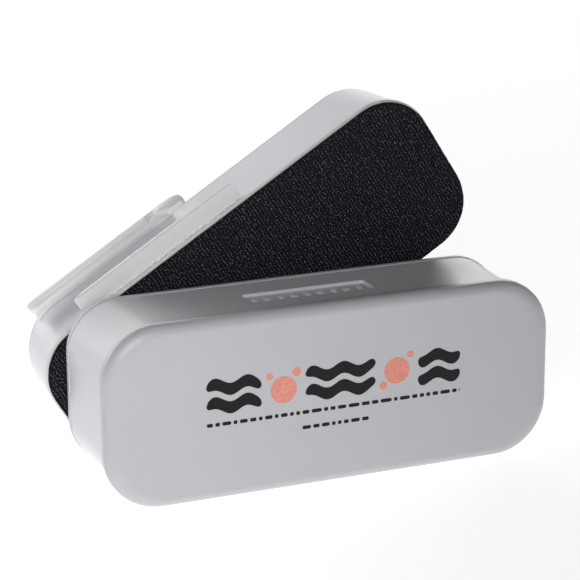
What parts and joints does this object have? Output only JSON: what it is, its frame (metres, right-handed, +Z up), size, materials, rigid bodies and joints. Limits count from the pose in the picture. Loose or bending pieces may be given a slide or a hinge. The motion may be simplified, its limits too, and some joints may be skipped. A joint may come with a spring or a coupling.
{
  "type": "magnetic glass cleaner",
  "caption": "Magnetic glass cleaner in two long rounded halves: a handle outside the tank and a floating scrubber half with a looped pad and scraper rails inside.",
  "frame": {"origin": "middle of the footprint box, on the surface the part rests on", "axes": "+X along the handle towards its right end, +Y from the handle half to the float half, +Z up"},
  "size_m": [0.1382, 0.0688, 0.0974],
  "materials": {
    "handle_cap_white": "glossy white moulded plastic, printed front",
    "handle_body_white": "glossy white moulded plastic",
    "handle_plate_white": "satin white plastic",
    "handle_adhesive": "thin adhesive film",
    "handle_felt": "charcoal felt",
    "handle_magnet_nickel": "nickel-plated magnet",
    "handle_carrier_grey": "matte grey plastic",
    "handle_keeper_steel": "mild steel plate",
    "scrub_pad_black": "black looped scrubbing cloth",
    "scrub_backing_grey": "thin backing film",
    "float_base_white": "off-white plastic rim",
    "float_body_white": "white moulded plastic",
    "float_cap_white": "white moulded plastic",
    "float_magnet_nickel": "nickel-plated magnet",
    "float_carrier_grey": "matte grey plastic",
    "float_keeper_steel": "mild steel plate",
    "rail_front_cream": "cream plastic",
    "rail_rear_cream": "cream plastic"
  },
  "bodies": {
    "handle_half": {"handle_front_cap": "handle_cap_white", "handle_body": "handle_body_white", "handle_back_plate": "handle_plate_white", "handle_felt_adhesive": "handle_adhesive", "handle_felt_pad": "handle_felt", "handle_magnet_left": "handle_magnet_nickel", "handle_magnet_right": "handle_magnet_nickel", "handle_magnet_carrier": "handle_carrier_grey", "handle_keeper_plate": "handle_keeper_steel"},
    "pivot_magnet": {"float_magnet_left": "float_magnet_nickel"},
    "float_half": {"scrub_pad": "scrub_pad_black", "scrub_pad_backing": "scrub_backing_grey", "float_base_plate": "float_base_white", "float_body": "float_body_white", "float_outer_cap": "float_cap_white", "float_magnet_right": "float_magnet_nickel", "float_magnet_carrier": "float_carrier_grey", "float_keeper_plate": "float_keeper_steel", "scraper_rail_front": "rail_front_cream", "scraper_rail_rear": "rail_rear_cream"}
  },
  "joints": [
    {"name": "pull_off", "type": "slide", "parent": "handle_half", "child": "pivot_magnet", "axis": [-0.0029, 0.9989, -0.0464], "range_m": [0, 0.06], "stiffness_N_per_m": 150, "springref_m": -0.02},
    {"name": "swing", "type": "hinge", "parent": "pivot_magnet", "child": "float_half", "pos_m": [-0.03808, 0.00282, 0.03022], "axis": [0.0029, -0.9989, 0.0464], "range_deg": [-31.85, 58.15]}
  ]
}
